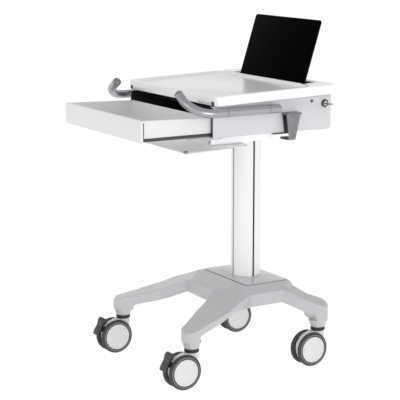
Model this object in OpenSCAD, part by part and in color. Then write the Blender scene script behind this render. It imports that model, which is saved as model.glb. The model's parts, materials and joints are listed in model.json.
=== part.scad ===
// Medication cart: a sheet-metal drawer box on a slotted column and a four-legged rolling base.
// Origin on the floor under the column's axis. +X is the user's right, -Y the front, +Z up.

/* [Casters] */
// Wheel diameter over the tread
wheel_d = 100; // [96:1:100]
// Width of one of a caster's two wheels
wheel_w = 15; // [13:0.5:16]
// Diameter of the hub and its cap
hub_d = 76; // [70:1:80]
// Distance that the axle trails behind the swivel axis
caster_trail = 31; // [30:0.5:34]
// Thickness of the housing between the two wheels
housing_w = 18; // [16:0.5:19]
// Diameter of the swivel stem
stem_d = 11; // [10:0.5:12]
// Diameter of the black collar under each leg
collar_d = 42; // [38:1:42]
// Height of the black collar
collar_h = 10; // [8:0.5:12]

/* [Base] */
// Sideways distance from the column's axis to each stem
stem_x = 202; // [195:1:215]
// Distance from the column's axis forward to the front stems
stem_front = 304; // [295:1:310]
// Distance from the column's axis back to the rear stems
stem_rear = 121; // [118:1:124]
// Height of the base's flat top
hub_z = 238; // [236:0.5:240]
// Radius of a leg's end
leg_r = 29; // [27:0.5:30]

/* [Column] */
// Outer diameter of the column
column_d = 87; // [84:1:90]
// Width of the mouth of each T-slot
slot_mouth = 6; // [5:0.5:8]

/* [Box] */
// Outer width of the box
box_w = 468; // [460:1:474]
// Distance from the column's axis forward to the box's open front
box_front = 255; // [250:1:260]
// Distance from the column's axis back to the box's rear wall
box_rear = 130; // [126:1:134]
// Height of the underside of the box
box_z = 694; // [692:0.5:696]
// Height of the side panels at the front
side_h = 84.5; // [83:0.5:86]
// Sheet thickness
sheet = 2; // [1.5:0.5:2.5]
// Slope of the worktop down towards the user, in degrees
slope = 1.9; // [1.5:0.1:2]

/* [Worktop] */
// Width of the worktop
top_w = 504; // [500:1:510]
// Depth of the worktop
top_l = 393; // [391:1:395]
// Height of the worktop's edge
top_h = 27; // [25:0.5:29]
// Depth of the recess in the worktop
recess = 6; // [4:0.5:8]
// Width of the rim round the recess
rim_w = 14; // [12:0.5:18]

/* [Drawer] */
// Width of the drawer's body
drawer_w = 444; // [436:1:446]
// Width of the drawer's front
front_w = 454; // [450:1:460]
// Distance that the drawer stands open
drawer_open = 208; // [150:1:208]

/* [Tray] */
// Distance from the column's axis to the mouse tray's outer corner
tray_x1 = 279; // [265:1:285]
// Distance from the column's axis to the mouse tray's inner edge
tray_x0 = 44; // [40:1:50]
// Depth of the mouse tray
tray_l = 216; // [205:1:217]
// Distance that the mouse tray stands forward of its stowed place
tray_open = 103; // [40:1:103]

/* [Handles] */
// Diameter of the handle tube
handle_d = 24; // [22:0.5:25]
// Angle at which the grip rises, in degrees
grip_rise = 32; // [20:1:34]
// Length of the grip past the bend
grip_l = 26; // [15:1:40]

/* [Laptop] */
// Width of the laptop
laptop_w = 336; // [320:1:345]
// Height of the laptop's screen panel
screen_h = 226; // [210:1:235]
// Angle of the screen back from upright, in degrees
screen_tilt = 17.9; // [16:0.1:20]

/* [Hidden] */
$fn = 64;
eps = 0.01;

// Casters
wheel_r = wheel_d / 2;
collar_z = wheel_d + 0.5;
socket_z = collar_z + collar_h;
socket_r = 20.5;
taper_h = 20.5;
leg_end_z = socket_z + taper_h;
stem_foot_z = 58;
stem_top_z = socket_z + 38;
fit = 0.05;
axle_r = 4;
wheel_gap = 1;
wheel_in = housing_w / 2 + wheel_gap;
axle_l = 2 * (wheel_in + wheel_w - 3);
tread_round = 4;
stems = [
  ["fl", [-stem_x, -stem_front]], ["fr", [stem_x, -stem_front]],
  ["rl", [-stem_x, stem_rear]], ["rr", [stem_x, stem_rear]]
];

// Brake pedal, placed about the axle
pivot_r = 36;
pivot_a = 140;
pin_r = 2;
arm_w = 10;
slot_drop = 18;
pedal_w = 30;

// Base
web_front = 157;
web_rear = 78;
hub_half = 156;
front_leg_at = [100, -110];
front_leg_a = -62.3;
rear_leg_at = [118, 71];
rear_leg_a = 31.3;
cover_w = 236;
cover_l = 142;
cover_top = 240;
flange_z = 220;
flange_t = 8;
flange_size = [200, 118];
bolt_r = 4;
bolt_x = 80;
bolt_y = 42;

// Column
column_z = flange_z + flange_t;
head_t = 4;
column_top = box_z - head_t;

// Box, in world heights
side_x = box_w / 2;
box_l = box_front + box_rear;
side_rear_h = side_h + box_l * tan(slope);

// Worktop frame: its lower front edge
top_front = 253;
top_z = box_z + side_h + 1.9;
slot_w = 384;
slot_y0 = 316;
slot_y1 = 366;
hinge_y = box_rear + 5;
hinge_z = box_z + side_rear_h - 3.4;
knuckle_r = 4.5;
hinge_pin_r = 2.5;
lug_xs = [-120, 0, 120];
lug_w = 30;
lug_h = 11;

// Drawer, at the place where it stands open
drawer_y = -box_front - 1 - drawer_open;
front_t = 6;
drawer_z = 707;
drawer_wall_h = 48;
drawer_l = 213;
rail_x = 213.5;
runner_w = 14;
runner_l = 355;

// Mouse tray
tray_t = 5;
tray_z = 667;
tray_y = -262 - tray_open;
tray_taper = 38;
pad_at = [tray_x1 - 14, tray_y + 8];
pad_r = 5;
guide_xs = [84, 206];
guide_w = 16;
guide_y0 = -250;
guide_y1 = -50;
guide_h = box_z - tray_z - tray_t - 2;
tray_rail_y = 118;
tray_rail_l = 92;

// Handles
handle_r = handle_d / 2;
handle_x = side_x + 8 + handle_r;
handle_z = 764;
handle_rear = -57;
bend_y = -264;
bend_r = 64;

// Laptop
hinge_ly = 71;
hinge_lz = 776;
laptop_t = 17;
laptop_l = 218;
shelf_z = 758;
screen_t = 5;
barrel_r = 4;

// Lock and plug on the right side panel
lock_y = 109;
lock_z = 766;
plug_y = 65;
plug_z = 775;

// Side hook
hook_top = 750;
hook_bottom = 674;
hook_x = side_x + 28;

// ---------- shared shapes ----------

// A round bar along X from x0 to x1
module x_rod(x0, x1, r) {
  translate([x0, 0, 0]) rotate([0, 90, 0]) cylinder(r = r, h = x1 - x0);
}

// A plate in the XY plane with round corners, centred in X, from y = 0 to y = l
module round_plate(w, l, t, r) {
  linear_extrude(t) union() {
    translate([-w / 2 + r, 0]) square([w - 2 * r, l]);
    translate([-w / 2, r]) square([w, l - 2 * r]);
    for (x = [-w / 2 + r, w / 2 - r], y = [r, l - r]) translate([x, y]) circle(r);
  }
}

// Extrudes a YZ outline along X, centred on x = 0
module along_x(w) {
  rotate([90, 0, 90]) translate([0, 0, -w / 2]) linear_extrude(w) children();
}

// The worktop's own frame: y runs back from its front edge, along its slope
module on_slope() {
  translate([0, -top_front, top_z]) rotate([slope, 0, 0]) children();
}

// ---------- base ----------

// Right half of the base seen from above, without the round ends of its legs
module base_half() {
  polygon([
    [-eps, -web_front], [66, -web_front + 2], [72, -150], [116, -232],
    [stem_x - 24.5, -stem_front - 12.9], [stem_x + 24.5, -stem_front + 12.9], [207, -208], [198, -176],
    [hub_half + 8, -95], [hub_half, -78], [hub_half, 31], [198, 66], [stem_x + 21, stem_rear - 18.2],
    [stem_x - 21, stem_rear + 18.2], [163, 108], [130, 84], [112, web_rear], [-eps, web_rear]
  ]);
}

// A long horizontal prism: its outline's x runs from a point on the floor in direction angle
module ridge(at, angle) {
  reach = 600;
  translate([at[0], at[1], 0]) rotate([90, 0, angle]) translate([0, 0, -reach])
    linear_extrude(2 * reach) children();
}

// Limits of the right front leg and the right rear leg, each seen across the leg
module front_leg_limit() {
  ridge(front_leg_at, front_leg_a) polygon([
    [-700, 0], [-700, hub_z], [-15, hub_z], [104, 195], [219, 168], [240, 163], [250, 154], [250, 0]
  ]);
}

module rear_leg_limit() {
  ridge(rear_leg_at, rear_leg_a) polygon([
    [-700, 0], [-700, hub_z], [2, hub_z], [14, 223], [50, 206], [117, 179], [124, 174], [129, 166],
    [129, 0]
  ]);
}

// Everything below the base's top, lowered by drop: the crown falls to the sides and down each leg
module below_top(drop) {
  translate([0, 0, -drop]) intersection() {
    ridge([0, 0], 90) polygon([
      [-340, 0], [-340, 196], [-web_front, 225], [-76, hub_z], [72, hub_z], [84, 230], [160, 215], [160, 0]
    ]);
    ridge([0, 0], 0) polygon([
      [-240, 0], [-240, 196], [-198, 205], [-hub_half, 220], [-121, hub_z], [121, hub_z],
      [hub_half, 220], [198, 205], [240, 196], [240, 0]
    ]);
    front_leg_limit();
    mirror([1, 0, 0]) front_leg_limit();
    rear_leg_limit();
    mirror([1, 0, 0]) rear_leg_limit();
  }
}

// Side view of the space under the base
module base_underside() {
  polygon([
    [-400, -1], [-400, leg_end_z], [-stem_front + 12, leg_end_z], [-stem_front + 16, 146],
    [-208, 168], [-web_front, 187], [-100, 184], [26, 184], [53, 172], [85, 155],
    [stem_rear - 20, 147], [stem_rear - 16, leg_end_z], [300, leg_end_z], [300, -1]
  ]);
}

// Hollow of one front and one rear leg, seen from above
module leg_hollows() {
  polygon([[114, -200], [168, -276], [198, -270], [186, -187], [150, -152]]);
  polygon([[148, 52], [150, 80], [170, 96], [192, 90], [190, 76], [160, 52]]);
}

module base_frame() {
  cavity = 280;
  color([0.76, 0.77, 0.78]) difference() {
    union() {
      difference() {
        intersection() {
          linear_extrude(300) union() {
            for (side = [0, 1]) mirror([side, 0, 0]) base_half();
            for (s = stems) translate(s[1]) circle(leg_r);
          }
          below_top(0);
        }
        along_x(600) base_underside();
      }
      for (s = stems) translate([s[1][0], s[1][1], socket_z])
        cylinder(r1 = socket_r, r2 = leg_r - 1, h = taper_h + 1);
    }
    // Recess for the flange and cover, and the open underside
    translate([0, -cover_l / 2 - 1.5, flange_z]) round_plate(cover_w + 1, cover_l + 1, 40, 14);
    translate([-cavity / 2, -web_front + 12, 100]) cube([cavity, web_front + web_rear - 22, 112]);
    for (side = [0, 1]) mirror([side, 0, 0]) intersection() {
      linear_extrude(300) leg_hollows();
      below_top(8);
    }
    for (s = stems) translate([s[1][0], s[1][1], socket_z - 1])
      cylinder(d = stem_d, h = stem_top_z - socket_z + 1);
    for (x = [-bolt_x, bolt_x], y = [-bolt_y, bolt_y])
      translate([x, y, flange_z - 20]) cylinder(r = bolt_r, h = 30);
  }
}

module base_cover() {
  color([0.8, 0.81, 0.82]) difference() {
    translate([0, -cover_l / 2 - 1, cover_top - 6]) round_plate(cover_w, cover_l, 6, 14);
    translate([0, 0, cover_top - 10]) cylinder(d = column_d + 0.6, h = 20);
  }
}

module column_flange() {
  color([0.6, 0.61, 0.62]) difference() {
    translate([-flange_size[0] / 2, -flange_size[1] / 2, flange_z])
      cube([flange_size[0], flange_size[1], flange_t]);
    for (x = [-bolt_x, bolt_x], y = [-bolt_y, bolt_y])
      translate([x, y, flange_z - 1]) cylinder(r = bolt_r, h = flange_t + 2);
  }
}

module flange_bolts() {
  head_h = 5;
  color([0.7, 0.7, 0.72]) for (x = [-bolt_x, bolt_x], y = [-bolt_y, bolt_y]) translate([x, y, 0]) {
    translate([0, 0, flange_z - 18]) cylinder(r = bolt_r, h = flange_t + 18 + eps);
    translate([0, 0, flange_z + flange_t]) difference() {
      cylinder(r = 7, h = head_h);
      translate([0, 0, 2]) cylinder(d = 6, h = 4, $fn = 6);
    }
  }
}

module column() {
  slot_depth = 7;
  color([0.97, 0.97, 0.97]) translate([0, 0, column_z]) linear_extrude(column_top - column_z)
    difference() {
      circle(d = column_d, $fn = 96);
      circle(r = 27);
      for (a = [0:90:270]) rotate(a) {
        translate([column_d / 2 - slot_depth, -slot_mouth / 2]) square([slot_depth + 1, slot_mouth]);
        translate([column_d / 2 - slot_depth - 5, -slot_mouth]) square([6, 2 * slot_mouth]);
      }
    }
}

module head_plate() {
  color([0.6, 0.61, 0.62]) translate([0, -52, column_top]) round_plate(116, 104, head_t, 8);
}

// ---------- box ----------

// Side view of the box, shrunk by inset, with a round lower rear corner
module box_outline(inset, lead, lid) {
  corner_r = 9;
  y0 = -box_front - lead;
  y1 = box_rear - corner_r;
  drop = lid - lead * tan(slope);
  polygon([
    [y0, inset], [y1, inset], [y1, side_h - lid + (y1 + box_front) * tan(slope)], [y0, side_h - drop]
  ]);
  polygon([
    [y1 - 1, corner_r], [box_rear - inset, corner_r],
    [box_rear - inset, side_h - lid + box_l * tan(slope)],
    [y1 - 1, side_h - lid + (y1 - 1 + box_front) * tan(slope)]
  ]);
  translate([y1, corner_r]) circle(corner_r - inset);
}

module box_shell() {
  lip = 12;
  inner_w = box_w - 2 * sheet;
  color([0.74, 0.75, 0.77]) difference() {
    translate([0, 0, box_z]) along_x(box_w) box_outline(0, 0, 0);
    translate([0, 0, box_z]) along_x(inner_w) box_outline(sheet, 5, sheet);
    // The top is open between the inward lips of the side panels
    translate([-inner_w / 2 + lip, -box_front - 5, box_z + 50])
      cube([inner_w - 2 * lip, box_l + 5 - sheet, 100]);
    translate([0, lock_y, lock_z]) x_rod(side_x - 5, side_x + 5, 8);
    translate([0, plug_y, plug_z]) x_rod(side_x - 5, side_x + 5, 2.5);
    // Cable outlet in the rear wall
    translate([-120, box_rear - 5, box_z + 30]) rotate([-90, 0, 0]) cylinder(r = 12, h = 10);
  }
}

module laptop_shelf() {
  shelf_y = -190;
  shelf_l = 278;
  edge = 6;
  color([0.2, 0.2, 0.22]) union() {
    translate([-side_x + sheet, shelf_y, shelf_z]) cube([box_w - 2 * sheet, shelf_l, sheet]);
    translate([-side_x + sheet + 14, shelf_y + shelf_l - sheet, shelf_z])
      cube([box_w - 2 * sheet - 28, sheet, edge]);
  }
}

module drawer_rails() {
  gap = 0.6;
  wall = 1.5;
  w = runner_w + 2 * (gap + wall);
  color([0.12, 0.12, 0.13]) for (side = [-1, 1])
    translate([side * rail_x - w / 2, -box_front + 3, box_z + sheet]) difference() {
      cube([w, 372, 9]);
      translate([wall, -1, wall]) cube([w - 2 * wall, 380, 9]);
    }
}

// T-shaped rail seen from its end, with its foot at y = 0 and a margin all round
module t_section(margin) {
  neck_h = 6;
  translate([-1.5 - margin, -1]) square([3 + 2 * margin, neck_h + 1]);
  translate([-5 - margin, neck_h - margin]) square([10 + 2 * margin, 5 + 2 * margin]);
}

// Rails run along Y from y0 for a length, at the height of the mouse tray's top
module tray_rails(margin, y0, length) {
  for (x = guide_xs) translate([x, y0 + length, tray_z + tray_t]) rotate([90, 0, 0])
    linear_extrude(length) t_section(margin);
}

module tray_guides() {
  color([0.93, 0.93, 0.94]) difference() {
    for (x = guide_xs) translate([x - guide_w / 2, guide_y0, box_z - guide_h])
      cube([guide_w, guide_y1 - guide_y0, guide_h]);
    tray_rails(0.6, guide_y0 - 5, guide_y1 - guide_y0 + 10);
  }
}

// ---------- handles ----------

module handle_path(r) {
  translate([0, bend_y, 0]) rotate([0, grip_rise, 0]) {
    rotate([-90, 0, 0]) cylinder(r = r, h = handle_rear - bend_y);
    translate([0, handle_rear - bend_y, 0]) sphere(r);
    translate([-bend_r, 0, 0]) rotate([0, 0, -90]) rotate_extrude(angle = 90)
      translate([bend_r, 0]) circle(r);
    translate([-bend_r, -bend_r, 0]) rotate([0, -90, 0]) cylinder(r = r, h = grip_l);
    translate([-bend_r - grip_l, -bend_r, 0]) sphere(r);
  }
}

module handle_right() {
  color([0.56, 0.57, 0.6]) translate([handle_x, 0, handle_z]) handle_path(handle_r);
}

module handle_left() {
  color([0.56, 0.57, 0.6]) mirror([1, 0, 0]) translate([handle_x, 0, handle_z]) handle_path(handle_r);
}

module handle_spacers() {
  spacer_r = 7;
  color([0.3, 0.3, 0.32]) for (side = [0, 1]) mirror([side, 0, 0]) difference() {
    for (y = [-90, -225]) translate([0, y, handle_z]) x_rod(side_x, handle_x - 4, spacer_r);
    translate([handle_x, handle_rear + 5, handle_z]) rotate([90, 0, 0])
      cylinder(r = handle_r, h = handle_rear - bend_y);
  }
}

// ---------- side hook ----------

// Side view of the hook: a broad flange at the top, a strap that narrows below it
module hook_face() {
  polygon([
    [-38, hook_top + 1], [17, hook_top + 1], [14, hook_top - 6], [9, hook_top - 9], [3, 704],
    [-4, 684], [-7, 670], [-27, 670], [-27, 684], [-29, 704], [-35, hook_top - 9], [-37, hook_top - 6]
  ]);
}

module side_hook() {
  t = 5;
  inner_r = 4;
  bend_x = hook_x - inner_r - t;
  bend_z = hook_bottom + inner_r + t;
  tip_x = side_x - 18;
  color([0.55, 0.55, 0.57]) intersection() {
    translate([0, 60, 0]) rotate([90, 0, 0]) linear_extrude(120) union() {
      translate([side_x, hook_top - t]) square([hook_x + 8 - side_x, t]);
      translate([hook_x - t, bend_z]) square([t, hook_top - bend_z - 1]);
      translate([bend_x, bend_z]) difference() {
        circle(inner_r + t);
        circle(inner_r);
        translate([-40, -40]) square([40, 80]);
        translate([-1, 0]) square([40, 40]);
      }
      translate([tip_x, hook_bottom]) square([bend_x - tip_x + eps, t]);
      translate([tip_x, hook_bottom + t - eps]) square([t, 3]);
    }
    translate([230, 0, 0]) along_x(160) hook_face();
  }
}

// Backing plate on the side panel with a narrow foot under the box
module hook_bracket() {
  plate_t = 2.5;
  foot_z = box_z - 3.5;
  color([0.1, 0.1, 0.11]) union() {
    translate([side_x, 0, 0]) rotate([90, 0, 90]) linear_extrude(plate_t) polygon([
      [-33, hook_top - 5.3], [8, hook_top - 5.3], [-3, foot_z], [-25, foot_z]
    ]);
    translate([side_x - 10, -62, foot_z]) cube([10 + plate_t, 55, box_z - foot_z]);
  }
}

// ---------- lock and plug ----------

module lock_barrel() {
  color([0.06, 0.06, 0.07]) translate([0, lock_y, lock_z]) difference() {
    union() {
      x_rod(side_x - 24, side_x, 8);
      x_rod(side_x, side_x + 3.5, 11);
    }
    x_rod(side_x - 25, side_x + 5, 6.5 + fit);
  }
}

module lock_core() {
  cam_t = 3;
  color([0.85, 0.85, 0.86]) translate([0, lock_y, lock_z]) difference() {
    union() {
      x_rod(side_x - 26, side_x + 4.5, 6.5);
      translate([side_x - 26 - cam_t, -5, -6]) cube([cam_t, 10, 22]);
    }
    translate([side_x - 12, -3.5, -1]) cube([20, 7, 2]);
  }
}

module key() {
  bow_r = 9;
  color([0.8, 0.8, 0.78]) translate([0, lock_y, lock_z]) {
    translate([side_x - 12, -3.5, -1]) cube([32, 7, 2]);
    translate([side_x + 25, 0, -1]) difference() {
      cylinder(r = bow_r, h = 2);
      translate([4, 0, -1]) cylinder(r = 2.2, h = 4);
      translate([-bow_r - 1, -3.5, -1]) cube([6 - eps, 7, 4]);
    }
  }
}

module side_plug() {
  color([0.08, 0.08, 0.09]) translate([0, plug_y, plug_z]) {
    x_rod(side_x - 4, side_x, 2.5);
    x_rod(side_x, side_x + 1.6, 4);
  }
}

// ---------- worktop ----------

module worktop() {
  wall = 3;
  corner = 16;
  color([0.97, 0.97, 0.97]) difference() {
    union() {
      on_slope() difference() {
        round_plate(top_w, top_l, top_h, corner);
        translate([0, rim_w, top_h - recess]) round_plate(top_w - 2 * rim_w, slot_y0 - rim_w - 6, 20, 10);
        translate([0, wall + 1, -1])
          round_plate(top_w - 2 * wall - 2, top_l - 2 * wall - 2, top_h - recess - wall + 1, corner - wall);
        translate([0, slot_y0, -10]) round_plate(slot_w, slot_y1 - slot_y0, 60, 6);
      }
      for (x = lug_xs) translate([x, hinge_y, hinge_z]) {
        x_rod(-lug_w / 2, lug_w / 2, knuckle_r);
        translate([-lug_w / 2, -knuckle_r, 0]) cube([lug_w, 2 * knuckle_r - 0.3, lug_h]);
      }
    }
    translate([0, hinge_y, hinge_z]) x_rod(-200, 200, hinge_pin_r + fit);
  }
}

module lid_buffers() {
  below = 1.5;
  color([0.08, 0.08, 0.09]) for (x = [-side_x + 8, side_x - 8]) on_slope() translate([x, 12, -below])
    cylinder(r = 5, h = top_h - recess - 3 + below);
}

module hinge_leaf() {
  knuckle_w = 26;
  color([0.62, 0.63, 0.65]) difference() {
    union() {
      translate([-200, box_rear, hinge_z - 26]) cube([400, 1.5, 21]);
      for (x = [-160, -60, 60, 160]) translate([x, hinge_y, hinge_z]) {
        x_rod(-knuckle_w / 2, knuckle_w / 2, knuckle_r);
        translate([-knuckle_w / 2, -knuckle_r - 0.4, -8]) cube([knuckle_w, 3, 8 - eps]);
      }
    }
    translate([0, hinge_y, hinge_z]) x_rod(-300, 300, hinge_pin_r);
  }
}

module hinge_pin() {
  color([0.75, 0.76, 0.78]) translate([0, hinge_y, hinge_z]) x_rod(-174, 174, hinge_pin_r);
}

// ---------- laptop ----------

module laptop_base() {
  ear_x = 118;
  y0 = hinge_ly - 5 - laptop_l;
  color([0.12, 0.12, 0.13]) union() {
    translate([0, y0, shelf_z + sheet]) round_plate(laptop_w, laptop_l, laptop_t, 8);
    for (side = [0, 1]) mirror([side, 0, 0]) {
      translate([ear_x, hinge_ly - 6, shelf_z + sheet]) cube([12, 11, hinge_lz + 5 - shelf_z - sheet]);
      translate([0, hinge_ly, hinge_lz]) x_rod(ear_x - 12, ear_x + eps, 2);
    }
  }
}

module laptop_screen() {
  barrel_x = 117.5;
  gap_x = 132;
  color([0.05, 0.05, 0.06]) translate([0, hinge_ly, hinge_lz]) rotate([-screen_tilt, 0, 0])
  difference() {
    union() {
      x_rod(-barrel_x, barrel_x, barrel_r);
      translate([-barrel_x, 0, 0]) cube([2 * barrel_x, screen_t, 12]);
      translate([0, screen_t, 9]) rotate([90, 0, 0]) round_plate(laptop_w, screen_h - 9, screen_t, 9);
    }
    for (side = [0, 1]) mirror([side, 0, 0]) x_rod(barrel_x - 13, gap_x, 2 + fit);
  }
}

// ---------- drawer ----------

module drawer_body() {
  wall = 4;
  back_h = 41;
  color([0.97, 0.97, 0.97]) translate([0, drawer_y, drawer_z]) difference() {
    translate([-drawer_w / 2, 0, 0]) cube([drawer_w, drawer_l, drawer_wall_h]);
    translate([-drawer_w / 2 + wall, -1, 5]) cube([drawer_w - 2 * wall, drawer_l - wall + 1, drawer_wall_h]);
    translate([-drawer_w / 2 + wall + 12, drawer_l - wall - 1, back_h])
      cube([drawer_w - 2 * wall - 24, wall + 2, drawer_wall_h]);
  }
}

module drawer_front() {
  h = 60;
  color([0.98, 0.98, 0.98]) translate([0, drawer_y, drawer_z + drawer_wall_h + 1 - h]) rotate([90, 0, 0])
    round_plate(front_w, h, front_t, 7);
}

module drawer_runners() {
  color([0.1, 0.1, 0.11]) for (side = [-1, 1])
    translate([side * rail_x - runner_w / 2, drawer_y + 8, box_z + sheet + 2.2])
      cube([runner_w, runner_l, drawer_z - box_z - sheet - 2.2]);
}

// ---------- mouse tray ----------

module mouse_tray() {
  r = 12;
  right = tray_x1 - r;
  color([0.95, 0.96, 0.97]) difference() {
    union() {
      translate([0, 0, tray_z]) linear_extrude(tray_t) union() {
        polygon([
          [tray_x0, tray_y + r], [tray_x0 + r, tray_y], [right, tray_y], [tray_x1, tray_y + r],
          [tray_x1 - 5, tray_y + 70], [tray_x1 - 18, tray_y + 150],
          [tray_x1 - tray_taper, tray_y + tray_l - 8],
          [tray_x1 - tray_taper - 10, tray_y + tray_l], [tray_x0, tray_y + tray_l]
        ]);
        for (x = [tray_x0 + r, right]) translate([x, tray_y + r]) circle(r);
      }
      tray_rails(0, tray_y + tray_rail_y, tray_rail_l);
    }
    translate([pad_at[0], pad_at[1], tray_z - 1]) cylinder(r = pad_r, h = tray_t + 2);
  }
}

module tray_pad() {
  color([0.1, 0.1, 0.11]) translate([pad_at[0], pad_at[1], tray_z - 0.8])
    cylinder(r = pad_r, h = tray_t + 1.6);
}

// ---------- casters ----------

// Moves to a caster's swivel axis at floor level
module at_stem(i) {
  translate([stems[i][1][0], stems[i][1][1], 0]) children();
}

// Moves to a caster's axle
module at_axle(i) {
  at_stem(i) translate([0, -caster_trail, wheel_r]) children();
}

module caster_stem(i) {
  color([0.08, 0.08, 0.09]) at_stem(i) union() {
    translate([0, 0, stem_foot_z]) cylinder(d = stem_d, h = stem_top_z - stem_foot_z - 1);
    translate([0, 0, collar_z]) cylinder(d = collar_d, h = collar_h);
  }
}

// YZ outline of the housing, about the axle
module housing_outline() {
  union() {
    circle(r = wheel_r - 5);
    square([caster_trail + 18, wheel_r]);
    translate([0, wheel_r - 14]) circle(r = 14 - eps);
  }
}

module caster_housing(i, braked) {
  color([0.86, 0.87, 0.88]) difference() {
    union() {
      difference() {
        at_axle(i) along_x(housing_w) housing_outline();
        if (braked) at_axle(i) rotate([pivot_a - 180, 0, 0])
          translate([-arm_w / 2 - 0.5, -80, -slot_drop]) cube([arm_w + 1, 90 - pivot_r, slot_drop + 8]);
      }
      if (braked) at_axle(i) rotate([pivot_a - 180, 0, 0]) translate([0, -pivot_r, 0])
        x_rod(-housing_w / 2 + 1, housing_w / 2 - 1, pin_r);
    }
    at_stem(i) translate([0, 0, stem_foot_z - 1]) cylinder(r = stem_d / 2 + fit, h = 60);
    at_axle(i) x_rod(-40, 40, axle_r);
  }
}

module caster_axle(i) {
  color([0.7, 0.71, 0.73]) at_axle(i) x_rod(-axle_l / 2, axle_l / 2, axle_r);
}

// Half section of a tyre: x is the radius, y the distance out from its inner face
module tyre_section() {
  union() {
    translate([hub_d / 2, 0.5]) square([wheel_r - hub_d / 2 - tread_round, wheel_w - 1]);
    translate([hub_d / 2 + 2, tread_round]) square([wheel_r - hub_d / 2 - 2, wheel_w - 2 * tread_round]);
    for (y = [tread_round, wheel_w - tread_round]) translate([wheel_r - tread_round, y])
      circle(tread_round - eps);
  }
}

// Half section of a hub with its shallow dished cap
module hub_section() {
  r = hub_d / 2;
  polygon([
    [axle_r + fit, 0], [r - 6, 0], [r, 1.5], [r, wheel_w - 1.5], [r - 2, wheel_w],
    [r - 6, wheel_w], [r - 9, wheel_w - 1.4], [8, wheel_w - 0.6], [0, wheel_w - 0.4],
    [0, wheel_w - 2.4], [axle_r + fit, wheel_w - 2.4]
  ]);
}

// Places a wheel part beside the housing: side 1 is the user's right
module at_wheel(i, side) {
  at_axle(i) rotate([0, side * 90, 0]) translate([0, 0, wheel_in]) children();
}

module tyre(i, side) {
  color([0.25, 0.25, 0.26]) at_wheel(i, side) rotate_extrude($fn = 96) tyre_section();
}

module hub(i, side) {
  color([0.88, 0.88, 0.89]) at_wheel(i, side) rotate_extrude($fn = 96) hub_section();
}

// The paddle's outline about the axle, in YZ
module paddle_outline() {
  polygon([
    [-30, 52], [-44, 34], [-55, 11], [-59, 7], [-65, 11], [-56, 34], [-48, 52], [-41, 60], [-34, 58]
  ]);
}

module arm_outline() {
  p = [pivot_r * cos(pivot_a), pivot_r * sin(pivot_a)];
  difference() {
    union() {
      translate(p) circle(6);
      polygon([p + [3, 5], p + [-4, -5], [-54, 18], [-50, 34]]);
    }
    translate(p) circle(pin_r + fit);
  }
}

module pedal(i) {
  color([0.22, 0.22, 0.23]) at_axle(i) union() {
    along_x(pedal_w) paddle_outline();
    along_x(arm_w) arm_outline();
  }
}

module stem_fl() { caster_stem(0); }
module stem_fr() { caster_stem(1); }
module stem_rl() { caster_stem(2); }
module stem_rr() { caster_stem(3); }
module housing_fl() { caster_housing(0, true); }
module housing_fr() { caster_housing(1, true); }
module housing_rl() { caster_housing(2, false); }
module housing_rr() { caster_housing(3, false); }
module axle_fl() { caster_axle(0); }
module axle_fr() { caster_axle(1); }
module axle_rl() { caster_axle(2); }
module axle_rr() { caster_axle(3); }
module pedal_fl() { pedal(0); }
module pedal_fr() { pedal(1); }
module tyre_fl_a() { tyre(0, -1); }
module tyre_fl_b() { tyre(0, 1); }
module tyre_fr_a() { tyre(1, -1); }
module tyre_fr_b() { tyre(1, 1); }
module tyre_rl_a() { tyre(2, -1); }
module tyre_rl_b() { tyre(2, 1); }
module tyre_rr_a() { tyre(3, -1); }
module tyre_rr_b() { tyre(3, 1); }
module hub_fl_a() { hub(0, -1); }
module hub_fl_b() { hub(0, 1); }
module hub_fr_a() { hub(1, -1); }
module hub_fr_b() { hub(1, 1); }
module hub_rl_a() { hub(2, -1); }
module hub_rl_b() { hub(2, 1); }
module hub_rr_a() { hub(3, -1); }
module hub_rr_b() { hub(3, 1); }

base_frame();
base_cover();
column_flange();
flange_bolts();
column();
head_plate();
box_shell();
laptop_shelf();
drawer_rails();
tray_guides();
handle_left();
handle_right();
handle_spacers();
hook_bracket();
side_hook();
side_plug();
lock_barrel();
lock_core();
key();
worktop();
lid_buffers();
hinge_leaf();
hinge_pin();
laptop_base();
laptop_screen();
drawer_body();
drawer_front();
drawer_runners();
mouse_tray();
tray_pad();
stem_fl();
stem_fr();
stem_rl();
stem_rr();
housing_fl();
housing_fr();
housing_rl();
housing_rr();
axle_fl();
axle_fr();
axle_rl();
axle_rr();
tyre_fl_a();
tyre_fl_b();
tyre_fr_a();
tyre_fr_b();
tyre_rl_a();
tyre_rl_b();
tyre_rr_a();
tyre_rr_b();
hub_fl_a();
hub_fl_b();
hub_fr_a();
hub_fr_b();
hub_rl_a();
hub_rl_b();
hub_rr_a();
hub_rr_b();
pedal_fl();
pedal_fr();
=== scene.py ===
import json
import math

import bmesh
import bpy
from mathutils import Matrix, Vector


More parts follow.
